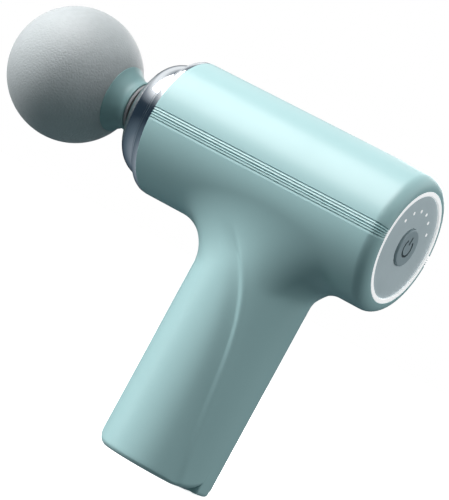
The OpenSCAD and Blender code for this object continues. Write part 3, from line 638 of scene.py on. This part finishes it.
def make_lower_shell():
    """The lower half of the barrel with an opening in it, and the handle drawn from the opening's outer edge
    down to its end and back up inside to the opening's inner edge."""
    work = Builder()
    stations, band = sweep_stations(LOWER_ARC_STEPS, -1)
    places, first_outer, first_inner = barrel_grid(stations, -1)
    last = len(stations) - 1 - band

    def opened(i, j):
        in_run = first_outer <= j < first_outer + X_STEPS or first_inner <= j < first_inner + X_STEPS
        return band <= i < last and in_run

    work.loft(places, skip=opened)
    angles = np.array([math.pi / 2 - a for a, _ in stations[band:last + 1]])
    outer = opening_loop(angles, FRONT_X - FRONT_EDGE, REAR_X + REAR_ROUND)
    inner = opening_loop(angles, FRONT_X, LIP_FRONT)
    wall, n, radius, centre, foot_z, theta = foot(handle_directions(outer))
    outward = lifted(n, np.zeros(len(n)))
    to_barrel = np.stack([0 * theta, -np.sin(theta), np.cos(theta)], 1)
    ball = lifted(centre, foot_z)

    touch = np.stack([centre[:, 0], theta], 1)

    def rows_to_foot(edge, surface_r, steps):
        between = [edge * (1 - w) + touch * w for w in np.linspace(0, 1, steps + 1)]
        return [on_barrel(row[:, 0], row[:, 1], surface_r) for row in between]

    # outside: barrel, corner, handle, edge of its end, its end
    rows = rows_to_foot(outer, BARREL_R, BARREL_ROWS)
    arms = slerp(to_barrel, -outward, shares(CORNER_ROWS))
    corner = ball + radius[:, None] * arms
    corner += crease(corner)[..., None] * -arms
    rows += list(corner)
    inset, edge_z, edge_r, down = end_edge(wall, n)
    for w in shares(HANDLE_ROWS):
        row = lifted(wall, foot_z * (1 - w) + edge_z * w)
        rows.append(row + crease(row)[:, None] * outward)
    off_wall = rows[-1] - lifted(wall, edge_z)
    for w, arm in zip(shares(EDGE_ROWS), slerp(outward, down, shares(EDGE_ROWS))):
        rows.append(lifted(inset, edge_z) + edge_r[:, None] * arm + off_wall * (1 - w))
    rows += end_rows(rows[-1][:, :2])

    # inside, from the floor up to the barrel's bore
    inner_wall = wall - n * WALL
    for w in np.linspace(0, 1, INNER_HANDLE_ROWS + 1):
        rows.append(lifted(inner_wall, FLOOR * (1 - w) + foot_z * w))
    for arm in slerp(-outward, to_barrel, shares(INNER_CORNER_ROWS)[:-1]):
        rows.append(ball + (radius[:, None] + WALL) * arm)
    rows += rows_to_foot(inner, INNER_R, INNER_BARREL_ROWS)[::-1]
    work.grid(np.array(rows), wrap_columns=True)
    work.piece("shell_lower", "root", "mint_shell", ["lower_housing"], crisp=38)


def make_strap_lug():
    """The small lug that fills the rear lower corner of the handle, rounded on its edges."""
    half_w, rise, corner_r, edge = 4.0, 0.4, 1.4, 0.45
    back, front, top = -HANDLE_A - 0.02, -HANDLE_A + 8.2, 9.0
    bow = HANDLE_B * HANDLE_B / HANDLE_A      # radius of the oval handle at its rear
    side = []
    for t in np.radians(np.linspace(180, 270, 9)):
        side.append((back + corner_r + corner_r * math.cos(t), rise + corner_r + corner_r * math.sin(t)))
    side += [(front, rise), (front, top), (back, top)]
    side = np.array(side)
    centre = np.array([(back + front) / 2, (rise + top) / 2])
    # (y, how far the outline is drawn in there), from one face to the other
    rounding = [(-half_w, edge), (-half_w + edge * 0.1, edge * 0.56), (-half_w + edge * 0.44, edge * 0.16),
                (-half_w + edge, 0)]
    flat = [(y, 0) for y in np.linspace(-half_w + edge, half_w - edge, 13)[1:-1]]
    rows = []
    for y, inset in rounding + flat + [(-y, inset) for y, inset in reversed(rounding)]:
        outline = side.copy()
        outline -= np.sign(outline - centre) * inset
        outline[:, 0] += bow - math.sqrt(bow * bow - y * y)
        rows.append(np.stack([outline[:, 0], np.full(len(side), y), outline[:, 1]], 1))
    work = Builder()
    work.loft(rows)
    work.piece("strap_lug", "root", "mint_shell", crisp=50)


# ---- nose ----

def make_nose():
    """The ring with its step, the bulged bezel and the seal in its mouth, as outlines of (x, r, round)."""
    ring_low, ring_high = box_mm("nose_flange")
    x, bore, boss, outer = ring_low[0], 14.6, 19.3, ring_high[1]
    rim = x + 2.3
    ring = [(x, bore, 0.2), (x, outer, 0.1), (x + 1.15, outer - 0.05, 0.2), (x + 1.25, outer - 0.35, 0.08),
            (x + 1.4, outer - 0.35, 0.08), (rim - 0.35, outer - 0.45, 0.4), (rim, outer - 0.85, 0.3),
            (rim, boss + 1.9, 0.15), (rim - 0.25, boss + 1.7, 0.1), (rim - 0.25, boss + 1.45, 0.1),
            (rim, boss + 1.25, 0.15), (rim, boss), (ring_high[0], boss, 0.15), (ring_high[0], bore, 0.3)]
    turned("nose_ring", rounded(ring), "root", "chrome_plating", ["nose_flange"])

    x0, band_r, band_end = box_mm("nose_bezel")[0][0], 20.4, x + 3.9
    dome_x, dome_l, dome_r, dome_rise = band_end + GAP, 7.1, 14.9, 4.75
    hollow_r, mouth_r = boss + GAP, 14.4
    seal_low, seal_high = box_mm("dust_seal")
    seal_front = seal_high[0] - 0.7
    band = [(x0, hollow_r), (x0, band_r, 0.3), (x0 + 0.6, band_r + 0.02, 0.08),
            (x0 + 0.7, band_r - 0.16, 0.04), (x0 + 0.8, band_r, 0.08), (band_end, band_r, 0.3),
            (band_end, dome_r + dome_rise - 0.3)]
    dome = [(dome_x + dome_l * math.sin(t), dome_r + dome_rise * math.cos(t))
            for t in np.radians(np.linspace(0, 90, 41))]
    inside = [(dome_x + dome_l - 0.08, mouth_r + 0.2), (dome_x + dome_l - 0.3, mouth_r),
              (seal_front + GAP, mouth_r), (seal_front + GAP, hollow_r)]
    turned("nose_bezel_ring", rounded(band, closed=False) + dome + inside, "root", "chrome_plating",
           ["nose_bezel"], crisp=40)

    rod_r = box_mm("plunger")[1][1]
    seal = [(seal_low[0], rod_r + 0.6, 0.2), (seal_low[0], seal_high[1], 0.1),
            (seal_front, seal_high[1], 0.1), (seal_front, rod_r + 4.6, 0.3),
            (seal_front + 0.35, rod_r + 3.9, 0.3),
            (seal_front, rod_r + 3.2, 0.3), (seal_front, rod_r + 2, 0.3), (seal_high[0], rod_r + 0.5, 0.12),
            (seal_high[0], rod_r + 0.3, 0.05)]
    turned("nose_seal", rounded(seal), "root", "black_rubber", ["dust_seal"])


# ---- head ----

ball_high = box_mm("ball_skin")[1]
BALL_R = float(ball_high[1])
BALL_X = float(ball_high[0]) - BALL_R


def make_plunger():
    """The plunger's tube with the socket at its front, and the rubber sleeve that lines the socket."""
    low, high = box_mm("plunger")
    rod_r, tail_r, socket_r, socket_x, web = high[1], 6.3, 5.5, 43.0, 2.0
    outside = [(low[0], tail_r, 0.2), (low[0], rod_r, 0.4), (high[0], rod_r, 0.5), (high[0], socket_r, 0.4),
               (socket_x, socket_r, 0.5), (socket_x, 0, 0)]
    tail = [(socket_x - web, 0), (socket_x - web, tail_r, 0.5), (low[0], tail_r, 0)]
    turned("plunger_rod", rounded(outside, closed=False) + rounded(tail, closed=False), "plunger",
           "plunger_metal", ["plunger"])
    low, high = box_mm("stem_sleeve")
    bore_r, sleeve_r, flange_r, flange_x = 4.3, socket_r - GAP, high[1], high[0] - 1.0
    turned("stem_bush", rounded([
        (low[0], bore_r, 0.1), (low[0], sleeve_r, 0.4), (flange_x, sleeve_r, 0.1), (flange_x, flange_r, 0.2),
        (high[0], flange_r, 0.2), (high[0], bore_r, 0.1)]), "head", "grey_rubber", ["stem_sleeve"])


def make_collar():
    """The flared foot of the head, seated on the ball."""
    low, high = box_mm("head_collar")
    base_x, base_r, flare_r, bore_r = low[0], 8.5, float(high[1]), 7.9
    seat_r, rim = BALL_R + 0.12, 0.12         # radius of the seat's hollow, and the rim left round it
    seat_x = BALL_X - math.sqrt(seat_r ** 2 - flare_r ** 2)
    flare_x, flare_steps, seat_steps = base_x + 0.9, 18, 8
    waist, bend = 0.35, 2.3                   # how far the flare draws in first, and how late it opens
    flare = []
    for k in range(flare_steps + 1):
        w = k / flare_steps
        flare.append((flare_x + (seat_x - 0.25 - flare_x) * w,
                      base_r - waist * math.sin(math.pi * min(1, w * 1.6)) * (1 - w)
                      + (flare_r - base_r) * w ** bend))
    seat = []
    for k in range(seat_steps + 1):
        r = flare_r - rim - (flare_r - rim - bore_r) * k / seat_steps
        seat.append((BALL_X - math.sqrt(seat_r ** 2 - r * r), r))
    outline = ([(base_x, bore_r), (base_x, base_r - 0.25), (base_x + 0.08, base_r - 0.08),
                (base_x + 0.25, base_r)] + flare + [(seat_x - 0.05, flare_r - 0.02)] + seat)
    # the collar gets the darker copy of the mint: painted shade
    turned("collar", outline, "head", "mint_shell", ["head_collar"], crisp=40, paint="mint_painted_shade")


def make_ball():
    """The soft ball: a skin of even thickness, open at the back where the collar seats."""
    neck_r, skin = 8.0, 1.8
    inner_r = BALL_R - skin
    open_outer = 180 - math.degrees(math.asin(neck_r / BALL_R))
    open_inner = 180 - math.degrees(math.asin(neck_r / inner_r))
    outside = arc(BALL_X, 0, BALL_R, 0, open_outer, 150)
    inside = arc(BALL_X, 0, inner_r, open_inner, 0, 40)
    outside[0], inside[-1] = (BALL_X + BALL_R, 0), (BALL_X + BALL_R - skin, 0)
    turned("ball", outside + inside, "head", "ball_rubber", ["ball_skin"], closed=False, crisp=60)


# ---- rear panel and button ----

def rod_rings(x0, x1, radius, centre, dome=0.0):
    """Rings of a round rod along X, with a domed rear end where dome is its height."""
    t = np.linspace(0, 2 * math.pi, ROD_SEGMENTS, endpoint=False)
    outline = [(x1, radius), (x0, radius)]
    if dome:
        outline += [(x0 - dome * 0.7, radius * 0.55), (x0 - dome, radius * 0.2)]
    return [np.stack([np.full(ROD_SEGMENTS, x), centre[0] + r * np.cos(t), centre[1] + r * np.sin(t)], 1)
            for x, r in outline]


def cut_with(piece, lofts):
    """Takes closed lofts, each a list of rings, out of the piece for good."""
    work = Builder()
    for rings in lofts:
        work.loft(rings)
    cutter = add_object("cutter", work.mesh("cutter", CUTTER_MERGE))
    bpy.context.view_layer.update()
    modifier = piece.modifiers.new("cut", "BOOLEAN")
    modifier.operation, modifier.solver, modifier.object = "DIFFERENCE", "EXACT", cutter
    graph = bpy.context.evaluated_depsgraph_get()
    made = bpy.data.meshes.new_from_object(piece.evaluated_get(graph))
    piece.modifiers.clear()
    piece.data = made
    shape = bmesh.new()
    shape.from_mesh(made)
    join_points(shape)
    shape.to_mesh(made)
    shape.free()
    shade(made, CRISP)
    bpy.data.objects.remove(cutter)


LIGHT_COUNT, LIGHT_ARC, LIGHT_STEP, LIGHT_R = 6, 12.0, 22.4, 0.55    # the step is in degrees
BUTTON_LIP = 1.1                      # how far the button's hidden flange reaches beyond its face
BUTTON_R = box_mm("power_button")[1][1] - BUTTON_LIP


def light_centres():
    """(y, z) of the level lights, on an arc above the button."""
    out = []
    for i in range(LIGHT_COUNT):
        t = math.radians((i - (LIGHT_COUNT - 1) / 2) * LIGHT_STEP)
        out.append((LIGHT_ARC * math.sin(t), AXIS_Z + LIGHT_ARC * math.cos(t)))
    return out


def make_panel():
    """The trim ring, the panel with its holes for the button and the lights, and the light windows."""
    ring_r, hole_r, through = PANEL_R + TRIM_GAP, BUTTON_R + 0.15, 1.0
    ring = [(TRIM_REAR, ring_r, 0.2), (TRIM_REAR, TRIM_R, 0.25), (TRIM_FRONT, TRIM_R, 0.1),
            (TRIM_FRONT, ring_r, 0.1)]
    # the trim ring gets the glowing white: painted light
    turned("trim_ring", rounded(ring, steps=5), "root", "white_plastic", ["rear_trim_ring"],
           paint="white_plastic_painted_glow")
    panel = turned("panel", rounded([
        (PANEL_REAR, hole_r, 0.15), (PANEL_REAR, PANEL_R, 0.15), (PANEL_FRONT, PANEL_R, 0.1),
        (PANEL_FRONT, hole_r, 0.1)]), "root", "panel_grey", ["rear_panel"])
    cut_with(panel, [rod_rings(PANEL_REAR - through, PANEL_FRONT + through, LIGHT_R + 0.05, c)
                     for c in light_centres()])
    window_front = box_mm("level_light_windows")[1][0]
    work = Builder()
    for c in light_centres():
        work.loft(rod_rings(PANEL_REAR + 0.02, window_front, LIGHT_R, c, dome=0.08))
    # the light windows get the glowing white too: painted light
    work.piece("light_windows", "root", "white_plastic", ["level_light_windows"], paint="white_plastic_painted_glow")


def mark_shapes(x0, x1, grow=0.0):
    """The power mark, an open ring with an upright bar, as closed lofts from x0 to x1. Grow widens it."""
    mark_r, half_line, gap_angle, bar_low, bar_high, steps = 2.75, 0.36, 38, 1.1, 3.7, 48
    longer = grow * 8                 # degrees that each end of the ring gains
    half = half_line + grow
    inner, outer = mark_r - half_line - grow, mark_r + half_line + grow
    ring = []
    for t in np.radians(np.linspace(gap_angle - longer, 360 - gap_angle + longer, steps + 1)):
        s, c = math.sin(t), math.cos(t)
        ring.append(np.array([(x0, inner * s, AXIS_Z + inner * c), (x0, outer * s, AXIS_Z + outer * c),
                              (x1, outer * s, AXIS_Z + outer * c), (x1, inner * s, AXIS_Z + inner * c)]))
    bar = [np.array([(x0, -half, z), (x0, half, z), (x1, half, z), (x1, -half, z)])
           for z in (AXIS_Z + bar_low - grow, AXIS_Z + bar_high + grow)]
    return [ring, bar]


def make_button():
    """The power button with a dished face, and the mark that fills the groove sunk into it."""
    low, high = box_mm("power_button")
    face, flange_r = float(low[0]), float(high[1])
    flange_x, flange_t, stem_r = PANEL_FRONT + GAP, 0.7, 1.6
    dish, groove, sunk, clear = 0.12, 0.42, 0.2, 0.04
    dished = [(face + dish, 0), (face + dish * 0.8, 2.2), (face + dish * 0.35, 4.2)]
    side = [(face, BUTTON_R - 0.9), (face, BUTTON_R, 0.42), (flange_x, BUTTON_R, 0.1),
            (flange_x, flange_r, 0.1), (flange_x + flange_t, flange_r, 0.1),
            (flange_x + flange_t, stem_r, 0.1), (high[0], stem_r, 0.2), (high[0], 0)]
    button = turned("power_key", dished + rounded(side, closed=False, steps=6), "button", "button_grey",
                    ["power_button"], closed=False)
    cut_with(button, mark_shapes(face - 1, face + groove, clear))
    work = Builder()
    for rings in mark_shapes(face + sunk, face + groove + 0.02):
        work.loft(rings)
    work.piece("power_mark", "button", "button_grey", paint="mark_paint")


make_plunger()
make_upper_shell()
make_lower_shell()
make_strap_lug()
make_nose()
make_collar()
make_ball()
make_panel()
make_button()


# ---- floor, lights and camera ----

def make_floor():
    """A plain pale floor. It lights nothing, so that the object is lit by the studio alone."""
    size, count, drop = 20.0, 24, 0.1 * MM    # metres; it lies just under the object, clear of its end
    steps = np.linspace(-size, size, count + 1)
    points = [(x, y, -drop) for x in steps for y in steps]
    wide = count + 1
    faces = [(i * wide + j, (i + 1) * wide + j, (i + 1) * wide + j + 1, i * wide + j + 1)
             for i in range(count) for j in range(count)]
    mesh = bpy.data.meshes.new("floor")
    mesh.from_pydata(points, [], faces)
    floor = add_object("floor", mesh)
    material, tree, shader = nodes_of("floor_paper")
    link(tree, mixed(tree, ranged(tree, noise(tree, 3.0), 0.0, 1.0), (0.86, 0.86, 0.86), (0.9, 0.9, 0.9)),
         shader.inputs["Base Color"])
    shader.inputs["Roughness"].default_value = 0.9
    shader.inputs["Specular IOR Level"].default_value = 0.0
    shader.inputs["Emission Color"].default_value = WHITE
    shader.inputs["Emission Strength"].default_value = 0.85
    mesh.materials.append(material)
    floor.visible_diffuse = False
    floor.visible_glossy = False


# (height, colour) from straight down, 0, to straight up, 1: what lights the object, and what it mirrors
SOFT_SKY = [(0.0, (0.16, 0.205, 0.213)), (0.5, (0.065, 0.085, 0.09)), (0.75, (0.2, 0.225, 0.235)),
            (1.0, (0.5, 0.52, 0.53))]
MIRRORED_SKY = [(0.0, (0.3, 0.34, 0.38)), (0.2, (0.1, 0.135, 0.165)), (0.4, (0.02, 0.034, 0.05)),
                (0.58, (0.02, 0.034, 0.05)), (0.66, (0.25, 0.28, 0.31)), (0.76, (0.95, 0.97, 0.98)),
                (0.84, (0.9, 0.92, 0.93)), (0.92, (0.2, 0.23, 0.26)), (1.0, (0.12, 0.14, 0.16))]


def sky(tree, height, stops):
    """A background that runs through the stops of (height, colour)."""
    ramp = tree.nodes.new("ShaderNodeValToRGB")
    elements = ramp.color_ramp.elements
    elements[0].position, elements[1].position = stops[0][0], stops[-1][0]
    elements[0].color, elements[1].color = (*stops[0][1], 1), (*stops[-1][1], 1)
    for position, color in stops[1:-1]:
        elements.new(position).color = (*color, 1)
    light = tree.nodes.new("ShaderNodeBackground")
    link(tree, height, ramp.inputs["Fac"])
    link(tree, ramp.outputs["Color"], light.inputs["Color"])
    return light.outputs[0]


def make_world():
    """White where the camera looks past the object, and round it a soft studio, with a dark horizon and a
    bright band overhead in what the object mirrors."""
    world = bpy.data.worlds.new("studio")
    bpy.context.scene.world = world
    world.use_nodes = True
    tree = world.node_tree
    tree.nodes.clear()
    out = tree.nodes.new("ShaderNodeOutputWorld")
    where = tree.nodes.new("ShaderNodeTexCoord")
    parts = tree.nodes.new("ShaderNodeSeparateXYZ")
    height = tree.nodes.new("ShaderNodeMapRange")
    height.inputs["From Min"].default_value = -1
    height.inputs["From Max"].default_value = 1
    link(tree, where.outputs["Generated"], parts.inputs[0])
    link(tree, parts.outputs["Z"], height.inputs["Value"])
    soft = sky(tree, height.outputs["Result"], SOFT_SKY)
    mirrored = sky(tree, height.outputs["Result"], MIRRORED_SKY)
    plain = tree.nodes.new("ShaderNodeBackground")
    plain.inputs["Color"].default_value = WHITE
    path = tree.nodes.new("ShaderNodeLightPath")
    first, second = tree.nodes.new("ShaderNodeMixShader"), tree.nodes.new("ShaderNodeMixShader")
    link(tree, path.outputs["Is Glossy Ray"], first.inputs[0])
    link(tree, soft, first.inputs[1])
    link(tree, mirrored, first.inputs[2])
    link(tree, path.outputs["Is Camera Ray"], second.inputs[0])
    link(tree, first.outputs[0], second.inputs[1])
    link(tree, plain.outputs[0], second.inputs[2])
    link(tree, second.outputs[0], out.inputs["Surface"])


LIGHT_COLOR = (1.0, 0.96, 0.96)
LIGHT_TARGET = (0.01, 0, 0.07)
# name, place, width, height, power, whether the object mirrors it
LIGHTS = [
    ("top_light", (0.35, 0.5, 0.93), 1.1, 0.8, 13, True),
    ("far_fill", (0.2, -1.1, 0.5), 0.5, 0.5, 3, True),
    ("front_light", (1.0, 0.35, 0.25), 0.3, 0.9, 15.5, False),
    ("rear_light", (-1.0, -0.55, 0.4), 0.5, 0.5, 6.5, False),
    ("side_fill", (0.4, 1.1, 0.75), 0.5, 0.5, 1.2, False)]


def make_lights():
    for name, place, width, height, power, mirrored in LIGHTS:
        data = bpy.data.lights.new(name, "AREA")
        data.shape = "RECTANGLE"
        data.size, data.size_y, data.energy, data.color = width, height, power, LIGHT_COLOR
        lamp = add_object(name, data)
        lamp.location = place
        lamp.rotation_euler = (Vector(LIGHT_TARGET) - Vector(place)).to_track_quat("-Z", "Y").to_euler()
        lamp.visible_camera = False
        lamp.visible_glossy = mirrored


def make_camera():
    """The photograph's camera, fitted to the outlines of the object."""
    azimuth, elevation, roll = (math.radians(a) for a in (25.559, -0.288, 28.619))
    target, distance = Vector((13.98, 0, 70.17)) * MM, 0.86868
    back = Vector((-math.sin(azimuth) * math.cos(elevation), math.cos(azimuth) * math.cos(elevation),
                   math.sin(elevation)))
    right = (-back).cross(Vector((0, 0, 1))).normalized()
    up = right.cross(-back)
    x_axis = right * math.cos(roll) + up * math.sin(roll)
    y_axis = up * math.cos(roll) - right * math.sin(roll)
    data = bpy.data.cameras.new("camera")
    data.sensor_width, data.lens = 36.0, 201.05
    data.clip_start, data.clip_end = 0.05, 50
    camera = add_object("camera", data)
    place = target + back * distance
    camera.matrix_world = Matrix((
        (x_axis.x, y_axis.x, back.x, place.x),
        (x_axis.y, y_axis.y, back.y, place.y),
        (x_axis.z, y_axis.z, back.z, place.z),
        (0, 0, 0, 1)))
    bpy.context.scene.camera = camera


make_floor()
make_world()
make_lights()
make_camera()
bpy.context.scene.view_settings.view_transform = "Standard"

bpy.context.view_layer.update()
